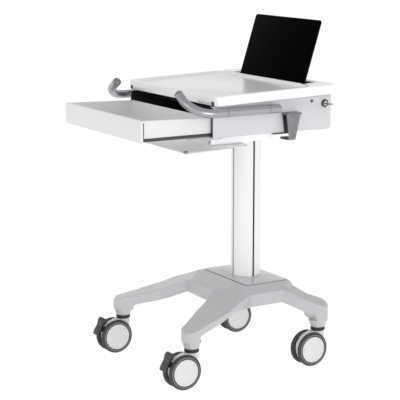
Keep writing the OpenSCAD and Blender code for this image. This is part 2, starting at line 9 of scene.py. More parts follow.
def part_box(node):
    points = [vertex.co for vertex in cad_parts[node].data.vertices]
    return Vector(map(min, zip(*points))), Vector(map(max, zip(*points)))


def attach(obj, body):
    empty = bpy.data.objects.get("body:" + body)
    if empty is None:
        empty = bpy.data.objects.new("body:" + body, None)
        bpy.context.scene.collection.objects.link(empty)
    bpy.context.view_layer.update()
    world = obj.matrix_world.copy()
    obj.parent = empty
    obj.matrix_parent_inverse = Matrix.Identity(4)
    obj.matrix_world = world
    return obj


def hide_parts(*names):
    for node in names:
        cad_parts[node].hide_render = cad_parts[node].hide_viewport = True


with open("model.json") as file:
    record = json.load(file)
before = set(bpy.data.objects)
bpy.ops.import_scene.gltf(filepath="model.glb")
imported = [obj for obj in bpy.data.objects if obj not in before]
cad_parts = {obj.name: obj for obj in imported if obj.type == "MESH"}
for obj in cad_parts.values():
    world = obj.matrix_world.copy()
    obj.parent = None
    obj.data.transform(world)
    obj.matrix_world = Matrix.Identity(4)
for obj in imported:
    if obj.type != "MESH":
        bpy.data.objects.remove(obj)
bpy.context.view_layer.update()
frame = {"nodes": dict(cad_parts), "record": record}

MM = 0.001
RECORD = frame["record"]
SLOT_OF = {s["node"]: s["material_slot"] for s in RECORD["subparts"]}
SIDES = (-1, 1)


def tag_of(side):
    """Left is -X and right is +X, as the person who holds the handles has them."""
    return "l" if side < 0 else "r"


# ---------------------------------------------------------------- materials

CLOUD_SCALE = 7.0
NOISE_LOW, NOISE_HIGH = 0.3, 0.7
# Pointiness range over which the painted edge highlight comes in.
HIGHLIGHT_FROM, HIGHLIGHT_FULL = 0.52, 0.62
COAT_ROUGHNESS = 0.08
MIX_FACTOR, MIX_A, MIX_B, MIX_COLOUR = 0, 6, 7, 2


def node(tree, kind, **values):
    n = tree.nodes.new(kind)
    for key, value in values.items():
        if key in n.inputs:
            n.inputs[key].default_value = value
        else:
            setattr(n, key, value)
    return n


def material(name, colour, rough, spread=0.05, grain=900.0, bump=0.02, metallic=0.0, coat=0.0,
             mottle=0.06, edge_highlight=0.0, edge_highlight_colour=(0.5, 0.5, 0.52), stretch=(1, 1, 1), bump_mm=0.05,
             specular=0.5, transmission=0.0):
    """A painted, moulded or metal surface: cloudy tone, fine grain in roughness and height, and a
    painted highlight that mixes convex edges toward a lighter colour. Grain is in cells per metre and
    bump_mm is the grain's height."""
    m = bpy.data.materials.new(name)
    m.use_nodes = True
    t = m.node_tree
    shader = t.nodes["Principled BSDF"]
    shader.inputs["Metallic"].default_value = metallic
    shader.inputs["Coat Weight"].default_value = coat
    shader.inputs["Coat Roughness"].default_value = COAT_ROUGHNESS
    shader.inputs["Specular IOR Level"].default_value = specular
    shader.inputs["Transmission Weight"].default_value = transmission
    place = node(t, "ShaderNodeTexCoord")
    scale = node(t, "ShaderNodeMapping")
    scale.inputs["Scale"].default_value = stretch
    t.links.new(place.outputs["Object"], scale.inputs["Vector"])

    cloud = node(t, "ShaderNodeTexNoise", Scale=CLOUD_SCALE, Detail=5.0, Roughness=0.6)
    fine = node(t, "ShaderNodeTexNoise", Scale=grain, Detail=3.0, Roughness=0.55)
    for n in (cloud, fine):
        t.links.new(scale.outputs["Vector"], n.inputs["Vector"])

    tone = node(t, "ShaderNodeValToRGB")
    dark = [c * (1 - mottle) for c in colour]
    light = [min(1.0, c * (1 + mottle * 0.6)) for c in colour]
    low, high = tone.color_ramp.elements
    low.position, low.color = NOISE_LOW, (*dark, 1)
    high.position, high.color = NOISE_HIGH, (*light, 1)
    t.links.new(cloud.outputs["Fac"], tone.inputs["Fac"])
    colour_out = tone.outputs["Color"]

    # Painted highlight: convex edges, found by pointiness, are mixed toward a lighter colour as if they
    # caught light.
    if edge_highlight > 0:
        geometry = node(t, "ShaderNodeNewGeometry")
        edge = node(t, "ShaderNodeMapRange")
        edge.inputs["From Min"].default_value = HIGHLIGHT_FROM
        edge.inputs["From Max"].default_value = HIGHLIGHT_FULL
        edge.inputs["To Max"].default_value = edge_highlight
        t.links.new(geometry.outputs["Pointiness"], edge.inputs["Value"])
        mix = node(t, "ShaderNodeMix", data_type="RGBA")
        mix.inputs[MIX_B].default_value = (*edge_highlight_colour, 1)
        t.links.new(edge.outputs["Result"], mix.inputs[MIX_FACTOR])
        t.links.new(colour_out, mix.inputs[MIX_A])
        colour_out = mix.outputs[MIX_COLOUR]
    t.links.new(colour_out, shader.inputs["Base Color"])

    gloss = node(t, "ShaderNodeMapRange")
    gloss.inputs["From Min"].default_value = NOISE_LOW
    gloss.inputs["From Max"].default_value = NOISE_HIGH
    gloss.inputs["To Min"].default_value = max(0.02, rough - spread)
    gloss.inputs["To Max"].default_value = min(1.0, rough + spread)
    t.links.new(fine.outputs["Fac"], gloss.inputs["Value"])
    t.links.new(gloss.outputs["Result"], shader.inputs["Roughness"])

    height = node(t, "ShaderNodeBump", Strength=bump, Distance=bump_mm * MM)
    t.links.new(fine.outputs["Fac"], height.inputs["Height"])
    t.links.new(height.outputs["Normal"], shader.inputs["Normal"])
    return m


MATERIALS = {
    "base_grey": material("base_grey", (0.50, 0.505, 0.52), 0.2, 0.05, 500, 0.25, coat=0.35,
                          mottle=0.025, edge_highlight=0.2, edge_highlight_colour=(0.65, 0.66, 0.68)),
    "cover_grey": material("cover_grey", (0.52, 0.525, 0.54), 0.14, 0.04, 700, 0.15, coat=0.4,
                           mottle=0.02),
    "steel": material("steel", (0.55, 0.56, 0.58), 0.34, 0.12, 420, 0.2, metallic=1.0,
                      stretch=(1, 12, 1), mottle=0.08),
    "column_white": material("column_white", (0.86, 0.86, 0.87), 0.22, 0.05, 300, 0.1, coat=0.3,
                             mottle=0.015, stretch=(6, 6, 0.3)),
    "box_grey": material("box_grey", (0.62, 0.625, 0.655), 0.38, 0.07, 1100, 0.5, coat=0.08,
                         mottle=0.03, edge_highlight=0.25, edge_highlight_colour=(0.72, 0.73, 0.76)),
    # Also painted shade on the box's inner side walls.
    "dark_steel": material("dark_steel", (0.012, 0.012, 0.014), 0.42, 0.1, 900, 0.4, mottle=0.2,
                           edge_highlight=0.4, edge_highlight_colour=(0.08, 0.08, 0.085)),
    "handle_grey": material("handle_grey", (0.40, 0.405, 0.43), 0.3, 0.06, 900, 0.3,
                            metallic=0.85, coat=0.15, mottle=0.05, edge_highlight=0.15,
                            edge_highlight_colour=(0.6, 0.6, 0.62)),
    "hook_grey": material("hook_grey", (0.22, 0.22, 0.232), 0.36, 0.12, 260, 0.5, mottle=0.22,
                          metallic=0.4, stretch=(4, 9, 0.4), edge_highlight=0.25,
                          edge_highlight_colour=(0.45, 0.45, 0.46)),
    "key_steel": material("key_steel", (0.16, 0.16, 0.165), 0.35, 0.1, 800, 0.3, metallic=0.6,
                          mottle=0.1),
    "disc_white": material("disc_white", (0.7, 0.705, 0.715), 0.3, 0.06, 900, 0.3, coat=0.2,
                           mottle=0.035),
    # Black plastic for real parts, and also painted shade under the lid, near its front corners, at the
    # box's open front and on the hook's lower leg.
    "black_plastic": material("black_plastic", (0.014, 0.014, 0.016), 0.4, 0.1, 1200, 0.6,
                              mottle=0.2, edge_highlight=0.4, edge_highlight_colour=(0.07, 0.07, 0.075)),
    "chrome": material("chrome", (0.78, 0.78, 0.8), 0.14, 0.06, 600, 0.15, metallic=1.0,
                       mottle=0.05),
    "white_plastic": material("white_plastic", (0.92, 0.925, 0.935), 0.22, 0.06, 900, 0.3,
                              coat=0.15, mottle=0.012),
    "tray_white": material("tray_white", (0.97, 0.975, 0.98), 0.5, 0.08, 500, 0.05,
                           mottle=0.015, transmission=0.85, specular=0.12),
    # Painted shade: the drawer's white plastic is made darker than the worktop's white, standing in for
    # the shade under the worktop.
    "drawer_white": material("drawer_white", (0.76, 0.765, 0.77), 0.3, 0.06, 900, 0.3, coat=0.12,
                             mottle=0.015),
    "laptop_black": material("laptop_black", (0.004, 0.004, 0.005), 0.4, 0.08, 1400, 0.4,
                             specular=0.06, mottle=0.25, edge_highlight=0.2, edge_highlight_colour=(0.03, 0.03, 0.033)),
    "screen_glass": material("screen_glass", (0.0012, 0.0012, 0.0014), 0.3, 0.04, 300, 0.03,
                             mottle=0.2, specular=0.008),
    "black_steel": material("black_steel", (0.012, 0.012, 0.013), 0.36, 0.1, 800, 0.3,
                            mottle=0.2, edge_highlight=0.35, edge_highlight_colour=(0.07, 0.07, 0.075)),
    "tyre": material("tyre", (0.036, 0.036, 0.039), 0.62, 0.12, 1500, 0.8, mottle=0.12,
                     bump_mm=0.12, edge_highlight=0.35, edge_highlight_colour=(0.11, 0.11, 0.115)),
    "pedal_grey": material("pedal_grey", (0.036, 0.037, 0.04), 0.46, 0.1, 1200, 0.6, mottle=0.1,
                           edge_highlight=0.4, edge_highlight_colour=(0.14, 0.14, 0.15)),
    # Dark grey for real joints, and also painted shade in the column's slots and under the lid.
    "groove_dark": material("groove_dark", (0.05, 0.052, 0.056), 0.6, 0.1, 900, 0.3, mottle=0.1),
    "line_light": material("line_light", (0.2, 0.2, 0.21), 0.5, 0.1, 900, 0.3, mottle=0.05),
}


# ---------------------------------------------------------------- shading and CAD pieces

SMOOTH_ANGLE = math.radians(32)
SHARP_ANGLE = math.radians(40)
FLAT_ANGLE = math.radians(1)
WELD_REACH = 0.01


def shade_group():
    """Geometry nodes that shade smooth across soft angles only."""
    g = bpy.data.node_groups.new("soft_shading", "GeometryNodeTree")
    g.interface.new_socket("Geometry", in_out="INPUT", socket_type="NodeSocketGeometry")
    g.interface.new_socket("Geometry", in_out="OUTPUT", socket_type="NodeSocketGeometry")
    start, end = g.nodes.new("NodeGroupInput"), g.nodes.new("NodeGroupOutput")
    angle = g.nodes.new("GeometryNodeInputMeshEdgeAngle")
    test = g.nodes.new("FunctionNodeCompare")
    test.data_type = "FLOAT"
    test.operation = "LESS_EQUAL"
    test.inputs[1].default_value = SMOOTH_ANGLE
    faces = g.nodes.new("GeometryNodeSetShadeSmooth")
    edges = g.nodes.new("GeometryNodeSetShadeSmooth")
    edges.domain = "EDGE"
    g.links.new(start.outputs[0], faces.inputs["Geometry"])
    g.links.new(faces.outputs["Geometry"], edges.inputs["Geometry"])
    g.links.new(angle.outputs["Unsigned Angle"], test.inputs[0])
    g.links.new(test.outputs["Result"], edges.inputs["Shade Smooth"])
    g.links.new(edges.outputs["Geometry"], end.inputs[0])
    return g


SHADING = shade_group()


def soften(obj):
    obj.modifiers.new("shading", "NODES").node_group = SHADING


def dress(name, edge=0.0):
    """Gives a CAD piece the material of its slot and, where asked, softened edges."""
    obj = frame["nodes"][name]
    weld = obj.modifiers.new("weld", "WELD")
    weld.merge_threshold = WELD_REACH * MM
    if edge:
        flat = obj.modifiers.new("flat", "DECIMATE")
        flat.decimate_type = "DISSOLVE"
        flat.angle_limit = FLAT_ANGLE
        bevel = obj.modifiers.new("bevel", "BEVEL")
        bevel.width = edge * MM
        bevel.segments = 2
        bevel.limit_method = "ANGLE"
        bevel.angle_limit = SHARP_ANGLE
    soften(obj)
    finish = MATERIALS[SLOT_OF[name]]
    if not obj.material_slots:
        obj.data.materials.append(finish)
    for slot in obj.material_slots:
        slot.material = finish


# ---------------------------------------------------------------- mesh building

def make(name, verts, faces, finish, body, replaces=(), matrix=None):
    """A mesh in millimetres becomes a piece that rides on a body."""
    mesh = bpy.data.meshes.new(name)
    mesh.from_pydata([Vector(v) * MM for v in verts], [], faces)
    bm = bmesh.new()
    bm.from_mesh(mesh)
    bmesh.ops.remove_doubles(bm, verts=bm.verts, dist=1e-7)
    bmesh.ops.recalc_face_normals(bm, faces=bm.faces)
    bm.to_mesh(mesh)
    bm.free()
    if matrix is not None:
        mesh.transform(matrix)
    obj = bpy.data.objects.new(name, mesh)
    bpy.context.scene.collection.objects.link(obj)
    mesh.materials.append(MATERIALS[finish])
    soften(obj)
    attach(obj, body)
    if replaces:
        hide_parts(*replaces)
    return obj


def arc(cx, cy, r, a0, a1, n):
    """Points along a round, between two angles in degrees."""
    return [(cx + r * math.cos(math.radians(a0 + (a1 - a0) * i / n)),
             cy + r * math.sin(math.radians(a0 + (a1 - a0) * i / n))) for i in range(n + 1)]


def rounded(x0, y0, x1, y1, r, n=8):
    """Rounded rectangle, counter-clockwise, with (n + 1) points per corner."""
    return (arc(x0 + r, y0 + r, r, 180, 270, n) + arc(x1 - r, y0 + r, r, 270, 360, n)
            + arc(x1 - r, y1 - r, r, 0, 90, n) + arc(x0 + r, y1 - r, r, 90, 180, n))


def round_corners(points, radii, n=6):
    """Polygon with each corner replaced by a round; radii is one number or one per corner."""
    out = []
    count = len(points)
    for i, p in enumerate(points):
        r = radii[i] if isinstance(radii, (list, tuple)) else radii
        p = Vector(p)
        a, b = Vector(points[i - 1]), Vector(points[(i + 1) % count])
        u, v = (a - p).normalized(), (b - p).normalized()
        half = u.angle(v) / 2
        reach = min(r / math.tan(half), 0.49 * (a - p).length, 0.49 * (b - p).length)
        if r <= 0:
            out.append((p.x, p.y))
            continue
        s, e = p + u * reach, p + v * reach
        for k in range(n + 1):
            w = k / n
            q = s * (1 - w) ** 2 + p * 2 * w * (1 - w) + e * w ** 2
            out.append((q.x, q.y))
    return out


def inset(points, d):
    """Moves a closed outline inwards by d along its corner normals."""
    if abs(d) < 1e-9:
        return list(points)
    count = len(points)
    area = sum(points[i - 1][0] * points[i][1] - points[i][0] * points[i - 1][1]
               for i in range(count))
    sign = 1 if area > 0 else -1
    out = []
    for i, p in enumerate(points):
        a, b = Vector(points[i - 1]), Vector(points[(i + 1) % count])
        c = Vector(p)
        e0, e1 = (c - a), (b - c)
        if e0.length < 1e-9:
            e0 = e1
        if e1.length < 1e-9:
            e1 = e0
        n0 = Vector((-e0.y, e0.x)).normalized()
        n1 = Vector((-e1.y, e1.x)).normalized()
        m = (n0 + n1)
        if m.length < 1e-6:
            m = n0
        m.normalize()
        k = d / max(0.35, m.dot(n0))
        out.append((c.x + sign * m.x * k, c.y + sign * m.y * k))
    return out


def loft(rings, closed=False):
    """Faces between rings of equal length; a closed loft joins its last ring to its first."""
    n = len(rings[0])
    verts = [p for ring in rings for p in ring]
    faces = []
    count = len(rings)
    for k in range(count if closed else count - 1):
        a, b = k * n, ((k + 1) % count) * n
        for i in range(n):
            j = (i + 1) % n
            faces.append((a + i, a + j, b + j, b + i))
    if not closed:
        faces.append(tuple(range(n - 1, -1, -1)))
        faces.append(tuple((count - 1) * n + i for i in range(n)))
    return verts, faces


def slab(outline, z0, z1, r0=1.0, r1=1.0, seg=3):
    """Prism of an outline with rounded lower (r0) and upper (r1) edges."""
    rows = []
    for k in range(seg + 1):
        a = math.pi / 2 * k / seg
        rows.append((r0 * (1 - math.sin(a)), z0 + r0 * (1 - math.cos(a))))
    for k in range(seg + 1):
        a = math.pi / 2 * k / seg
        rows.append((r1 * (1 - math.cos(a)), z1 - r1 * (1 - math.sin(a))))
    return loft([[(x, y, z) for x, y in inset(outline, d)] for d, z in rows])


def lathe(profile, segments=72, closed=False):
    """Profile of (radius, x) turned about the X axis."""
    turns = [2 * math.pi * i / segments for i in range(segments)]
    rings = [[(x, r * math.cos(a), r * math.sin(a)) for a in turns] for r, x in profile]
    return loft(rings, closed)


def join(*parts):
    """Several parts as one list of points and one of faces."""
    verts, faces = [], []
    for v, f in parts:
        base = len(verts)
        verts += list(v)
        faces += [tuple(base + i for i in face) for face in f]
    return verts, faces


def along_x(part):
    """A slab drawn in (y, z) with its thickness along X."""
    return [(z, x, y) for x, y, z in part[0]], part[1]


def along_y(part):
    """A slab drawn in (x, z) with its thickness along -Y."""
    return [(x, -z, y) for x, y, z in part[0]], part[1]


def upright(part):
    """A lathe part turned to stand on the Z axis."""
    return [(y, z, x) for x, y, z in part[0]], part[1]


END_BULGE, END_TIP = 0.55, 0.02


def sweep(path, radius, segments, ends):
    """Tube along 3-D points with flattish domed ends."""
    pts = [Vector(p) for p in path]
    first, last = (pts[1] - pts[0]).normalized(), (pts[-1] - pts[-2]).normalized()
    head, tail = [], []
    for k in range(1, ends + 1):
        a = math.pi / 2 * k / ends
        narrow = radius * max(END_TIP, math.cos(a))
        head.append((pts[0] - first * radius * math.sin(a) * END_BULGE, narrow))
        tail.append((pts[-1] + last * radius * math.sin(a) * END_BULGE, narrow))
    chain = head[::-1] + [(p, radius) for p in pts] + tail
    normal = first.orthogonal().normalized()
    rings = []
    for i, (p, r) in enumerate(chain):
        nxt = chain[min(i + 1, len(chain) - 1)][0]
        prv = chain[max(i - 1, 0)][0]
        t = (nxt - prv).normalized()
        normal = (normal - t * normal.dot(t)).normalized()
        side = t.cross(normal)
        rings.append([tuple(p + (normal * math.cos(2 * math.pi * k / segments)
                                 + side * math.sin(2 * math.pi * k / segments)) * r)
                      for k in range(segments)])
    return loft(rings)


def box_mm(name):
    """Lowest and highest corner of a CAD node, in millimetres."""
    lo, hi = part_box(name)
    return [c * 1000 for c in lo], [c * 1000 for c in hi]


# ---------------------------------------------------------------- base

BASE_VOXEL = 2.0
BASE_RELAX, BASE_PASSES = 0.6, 5
COVER_ROUND = 14.0
SEAM_GAP = 0.4


def base_piece():
    """The casting, with the hard edges of its solid melted into soft ones."""
    source = frame["nodes"]["base_frame"]
    mesh = source.data.copy()
    obj = bpy.data.objects.new("base_casting", mesh)
    bpy.context.scene.collection.objects.link(obj)
    remesh = obj.modifiers.new("remesh", "REMESH")
    remesh.mode = "VOXEL"
    remesh.voxel_size = BASE_VOXEL * MM
    relax = obj.modifiers.new("relax", "SMOOTH")
    relax.factor = BASE_RELAX
    relax.iterations = BASE_PASSES
    depsgraph = bpy.context.evaluated_depsgraph_get()
    final = bpy.data.meshes.new_from_object(obj.evaluated_get(depsgraph))
    obj.modifiers.clear()
    obj.data = final
    final.materials.clear()
    final.materials.append(MATERIALS["base_grey"])
    final.shade_smooth()
    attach(obj, "frame")
    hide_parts("base_frame")


base_piece()
(cx0, cy0, cz0), (cx1, cy1, cz1) = box_mm("base_cover")
col_lo, col_hi = box_mm("column")
COLUMN_R = (col_hi[0] - col_lo[0]) / 2 + 0.1
COLUMN_Z0, COLUMN_Z1 = col_lo[2], col_hi[2]


def hub_cover_pieces():
    """The cover plate, the dark joint line round it and the seal round the column's foot."""
    plate = rounded(cx0, cy0, cx1, cy1, COVER_ROUND)
    make("hub_cover", *slab(plate, cz0, cz1, 0.3, 1.6), "cover_grey", "frame", ["base_cover"])
    outer = rounded(cx0 - SEAM_GAP, cy0 - SEAM_GAP, cx1 + SEAM_GAP, cy1 + SEAM_GAP,
                    COVER_ROUND + SEAM_GAP)
    inner = inset(outer, 2 * SEAM_GAP)
    low, high = cz0 - 1, cz1 - 1.6
    corners = ((outer, low), (outer, high), (inner, high), (inner, low))
    rings = [[(x, y, z) for x, y in ring] for ring, z in corners]
    make("hub_cover_seam", *loft(rings, closed=True), "groove_dark", "frame")
    r_in, r_out, soft = COLUMN_R - 0.5, COLUMN_R + 2.2, 0.6
    z0, z1 = cz1 - 0.5, cz1 + 1.6
    seal = lathe([(r_in, z0), (r_out - soft, z0), (r_out, z0 + soft), (r_out, z1 - soft),
                  (r_out - soft, z1), (r_in, z1)], 72, closed=True)
    make("column_seal", *upright(seal), "cover_grey", "frame")


hub_cover_pieces()


# ---------------------------------------------------------------- column

def turned(points, degrees):
    """Points turned about the column's axis."""
    c, s = math.cos(math.radians(degrees)), math.sin(math.radians(degrees))
    return [(x * c - y * s, x * s + y * c) for x, y in points]


def column_piece():
    """A round extrusion with four slots, and a dark strip deep in each that is painted shade. Half is
    half the width of a slot's mouth, and undercut is how far the slot widens behind its lips."""
    half, lip, deep, undercut, edge = 3.0, 1.6, 7.0, 2.4, 0.7
    mouth, behind, floor = COLUMN_R - edge, COLUMN_R - lip - 0.6, COLUMN_R - deep
    one_side = [(COLUMN_R - edge * 0.3, half + edge * 0.2), (mouth, half),
                (COLUMN_R - lip - edge, half), (behind, half + undercut), (floor, half + undercut)]
    slot = [(x, -y) for x, y in one_side] + one_side[::-1]
    ends = math.degrees(math.asin(half / COLUMN_R)) + math.degrees(edge / COLUMN_R)
    outline = []
    for a in range(0, 360, 90):
        outline += arc(0, 0, COLUMN_R, a + ends, a + 90 - ends, 22) + turned(slot, a + 90)
    profile = slab(outline, COLUMN_Z0, COLUMN_Z1, 0.2, 0.2, 1)
    make("column_profile", *profile, "column_white", "frame", ["column"])
    # Painted shade: a dark strip deep in each slot stands in for the shade inside it.
    near, far, wide = floor + 1.2, floor - 0.4, half + undercut - 0.2
    strip = [(far, -wide), (near, -wide), (near, wide), (far, wide)]
    for quarter in range(4):
        slot_shade_strip = slab(turned(strip, 90 * quarter), cz1, COLUMN_Z1 - 1, 0.1, 0.1, 1)
        make("slot_shade_%d" % quarter, *slot_shade_strip, "groove_dark", "frame")


column_piece()

# ---------------------------------------------------------------- worktop

# The lid is drawn flat, with its front edge at y 0 and its underside at z 0, and then tilted up
# towards the rear by its slope.
SLOPE = math.radians(1.9)
TOP_L, TOP_H, TOP_RECESS = 393.0, 27.0, 6.0
top_lo, top_hi = box_mm("worktop")
TOP_HALF = (top_hi[0] - top_lo[0]) / 2
TOP_FRONT, TOP_Z = top_lo[1] + TOP_H * math.sin(SLOPE), 780.4
TOP_PLACE = Matrix.Translation(Vector((0, TOP_FRONT, TOP_Z)) * MM) @ Matrix.Rotation(SLOPE, 4, "X")
SLOT_HALF, SLOT_FRONT, SLOT_REAR = 192.0, 316.0, 366.0
CUT_LOW, CUT_HIGH = -20.0, 60.0
(_, by0, bz0), (bx1, by1, _) = box_mm("box_shell")


def on_lid(name, part, finish, replaces=()):
    """A piece drawn flat that rides on the lid at its slope."""
    return make(name, *part, finish, "worktop_lid", replaces, TOP_PLACE)


def cut_slot(obj, outline):
    """Takes a prism of an outline out of a lid piece, for good."""
    verts, faces = slab(outline, CUT_LOW, CUT_HIGH, 0.5, 0.5)
    mesh = bpy.data.meshes.new("cutter")
    mesh.from_pydata([Vector(v) * MM for v in verts], [], faces)
    bm = bmesh.new()
    bm.from_mesh(mesh)
    bmesh.ops.recalc_face_normals(bm, faces=bm.faces)
    bm.to_mesh(mesh)
    bm.free()
    tool = bpy.data.objects.new("cutter", mesh)
    bpy.context.scene.collection.objects.link(tool)
    tool.matrix_world = TOP_PLACE
    obj.modifiers.clear()
    mod = obj.modifiers.new("cut", "BOOLEAN")
    mod.operation = "DIFFERENCE"
    mod.solver = "EXACT"
    mod.object = tool
    bpy.context.view_layer.update()
    depsgraph = bpy.context.evaluated_depsgraph_get()
    final = bpy.data.meshes.new_from_object(obj.evaluated_get(depsgraph))
    obj.modifiers.clear()
    obj.data = final
    bpy.data.objects.remove(tool)
    soften(obj)


def worktop_piece():
    """The moulded lid: a raised rim round a shallow recess, and a flat band with the slot."""
    def ring(d, z, r, back=0.0):
        pts = rounded(-TOP_HALF + d, d, TOP_HALF - d, TOP_L - d - back, r, 8)
        return [(x, y, z) for x, y in pts]

    rim, rear_band, floor = 14.0, 83.0, TOP_H - TOP_RECESS
    outside = [ring(4.5, 12.0, 12), ring(3.6, 1.2, 12.5), ring(2.4, 0.0, 13.5), ring(1.2, 0.4, 14.8),
               ring(0.0, 2.0, 16), ring(0.0, TOP_H - 5.5, 16), ring(0.5, TOP_H - 3.2, 15.6),
               ring(1.7, TOP_H - 1.2, 14.6), ring(3.6, TOP_H - 0.2, 13), ring(5.0, TOP_H, 12),
               ring(rim - 3.2, TOP_H, 11)]
    inside = [(rim - 2.4, TOP_H, 10.8), (rim - 1.0, TOP_H - 0.4, 10.5), (rim + 0.8, TOP_H - 1.6, 10),
              (rim + 2.0, floor + 1.8, 9.5), (rim + 3.4, floor + 0.5, 9), (rim + 5.6, floor, 8)]
    recess = [ring(d, z, r, rear_band - rim) for d, z, r in inside]
    tray = on_lid("worktop_tray", loft(outside + recess), "white_plastic", ["worktop"])
    cut_slot(tray, rounded(-SLOT_HALF, SLOT_FRONT, SLOT_HALF, SLOT_REAR, 7, 6))


def worktop_trim():
    """The lip before the slot, and painted shade as dark sheets: under the lid, below its front and
    below its sides.
    """
    wide, lip_y, thick = SLOT_HALF + 2, SLOT_FRONT - 1.5, 6.0
    lip = rounded(-wide, lip_y - thick, wide, lip_y, 2.6, 4)
    on_lid("slot_lip", slab(lip, TOP_H - 1, TOP_H + 2.2, 0.3, 1.6), "white_plastic")
    margin = 6
    under = rounded(-TOP_HALF + margin, margin, TOP_HALF - margin, TOP_L - margin, 12, 6)
    # Painted shade: a dark sheet over the lid's underside.
    panel = on_lid("lid_underside_shade", slab(under, 11.5, 13.5, 0.3, 0.3), "groove_dark")
    cut_slot(panel, rounded(-wide, SLOT_FRONT - 2, wide, SLOT_REAR + 2, 8, 6))
    scoop_in, pocket_in, pocket_out = 150, 222, 235
    # Painted shade: near each front corner, a black block and a grey strip on the lid's front face stand
    # in for the shade of a shallow recess that is not modelled.
    for side in SIDES:
        x0, x1 = sorted((side * pocket_in, side * pocket_out))
        pocket = slab(rounded(x0, -0.5, x1, 1.5, 0.4, 2), 0.8, 12.5, 0.4, 0.8, 2)
        on_lid("front_pocket_" + tag_of(side), pocket, "black_plastic")
        x0, x1 = sorted((side * scoop_in, side * pocket_in))
        scoop = slab(rounded(x0, -0.3, x1, 1.5, 0.4, 2), 0.8, 9, 0.3, 2.2, 3)
        on_lid("front_scoop_" + tag_of(side), scoop, "box_grey")
    # Painted shadow: a black strip under the lid's front edge.
    seal = slab(rounded(-230, 10, 230, 14, 1.8, 4), 9.5, 12, 0.3, 0.3)
    on_lid("lid_front_shadow", seal, "black_plastic")
    # Painted shadow: black strips under the lid's side overhangs.
    side_shadow_x, side_shadow_rear = 229.5, 170
    for side in SIDES:
        strip = rounded(side * side_shadow_x - 2, 4.5, side * side_shadow_x + 2, side_shadow_rear, 1.5, 3)
        on_lid("lid_side_shadow_" + tag_of(side), slab(strip, 0.8, 12, 0.3, 0.3), "black_plastic")


worktop_piece()
worktop_trim()
for name in ("lid_buffers", "hinge_leaf", "hinge_pin", "head_plate", "column_flange",
             "flange_bolts", "laptop_shelf", "drawer_rails", "drawer_runners", "tray_guides",
             "handle_spacers", "lock_core", "side_plug", "laptop_base", "hook_bracket"):
    dress(name)

# ---------------------------------------------------------------- box

dress("box_shell", edge=0.35)


def box_details():
    """A dark sheet on each inner side wall and a black strip at each side of the open front, both
    painted shade of the gap beside the drawer, a bracket under each front corner and a strip under the
    rear."""
    wall, edge_shade_x, bracket_in, bracket_out = 2.0, 229, 205, 233
    inner, under = bx1 - wall, bz0 - 0.02
    for side in SIDES:
        x0, x1 = sorted((side * (inner - 0.2), side * (inner - 1.4)))
        front, rear, low = by0 + 0.3, by1 - 4, bz0 + 2.2
        pts = [(front, low), (rear, low), (rear, bz0 + 92), (front, bz0 + 80.5)]
        # Painted shade: a dark sheet on the inner side wall stands in for the shade in the gap beside
        # the drawer.
        wall_shade = slab(round_corners(pts, 0.8, 2), x0, x1, 0.1, 0.1, 1)
        make("lining_" + tag_of(side), *along_x(wall_shade), "dark_steel", "frame")
        # Painted shade: a black strip at the front edge of the opening, for the same shade.
        strip = rounded(side * edge_shade_x - 3, by0 - 0.6, side * edge_shade_x + 3, by0 + 3, 0.8, 2)
        edge_shade = slab(strip, bz0 + 2, bz0 + 80, 0.4, 0.4)
        make("gasket_" + tag_of(side), *edge_shade, "black_plastic", "frame")
        foot = [(side * bracket_out, by0 + 2), (side * bracket_in, by0 + 2),
                (side * bracket_in, by0 + 22), (side * bracket_out, by0 + 34)]
        bracket = slab(round_corners(foot, 3, 4), bz0 - 3.5, under, 1.0, 0.1)
        make("corner_bracket_" + tag_of(side), *bracket, "steel", "frame")
    strip = rounded(-228, 68, 228, 122, 4, 4)
    make("rear_lip", *slab(strip, bz0 - 1.6, under, 0.4, 0.1), "dark_steel", "frame")


box_details()

# ---------------------------------------------------------------- drawer

(dx0, dy0, dz0), (dx1, dy1, dz1) = box_mm("drawer_body")
(fx0, fy0, fz0), (fx1, fy1, fz1) = box_mm("drawer_front")
DRAWER_WALL = 4.0
REAR_DROP, REAR_REACH = 6.0, 20.0


def drawer_piece():
    """The tub, its front, a dark line behind the front and the panel inside it. The tub's rear
    wall is lower than its sides by the rear drop."""
    def ring(d, z, r, drop=0.0):
        return [(x, y, z - (drop if y > dy1 - REAR_REACH else 0))
                for x, y in rounded(dx0 + d, dy0 + min(d, 1.0), dx1 - d, dy1 - d, r, 6)]

    wall = DRAWER_WALL
    outside = [ring(3.0, dz0, 3), ring(0.8, dz0 + 0.6, 4.6), ring(0, dz0 + 2.6, 5)]
    edge = [ring(d, dz1 - down, r, REAR_DROP)
            for d, down, r in ((0, 1.6, 5), (0.5, 0.4, 4.6), (1.5, 0, 4), (wall - 1.2, 0, 3.6),
                               (wall - 0.3, 0.5, 3.4), (wall, 1.8, 3.2))]
    inside = [ring(wall + 0.6, dz0 + 9, 3.4), ring(wall + 1.8, dz0 + 6, 4), ring(wall + 5, dz0 + 5, 5)]
    tub = loft(outside + edge + inside)
    make("drawer_tub", *tub, "drawer_white", "drawer", ["drawer_body"])
    front = along_y(slab(rounded(fx0, fz0, fx1, fz1, 7, 8), -fy1, -fy0, 0.6, 2.2, 4))
    make("drawer_face", *front, "drawer_white", "drawer", ["drawer_front"])
    seam_x = dx1 - 0.3
    for side in SIDES:
        strip = rounded(side * seam_x - 1.2, fy1 - 0.1, side * seam_x + 1.2, fy1 + 4.9, 0.4, 2)
        seam = slab(strip, dz0 + 1, dz1 - 6.5, 0.3, 0.3)
        make("drawer_seam_" + tag_of(side), *seam, "groove_dark", "drawer")
    inner = rounded(dx0 + 8, fz0 + 12, dx1 - 8, fz1 - 4, 4, 4)
    back = along_y(slab(inner, -fy1 - 1.6, -fy1 + 0.2, 0.5, 0.1, 2))
    make("drawer_face_back", *back, "drawer_white", "drawer")


drawer_piece()

# ---------------------------------------------------------------- mouse tray

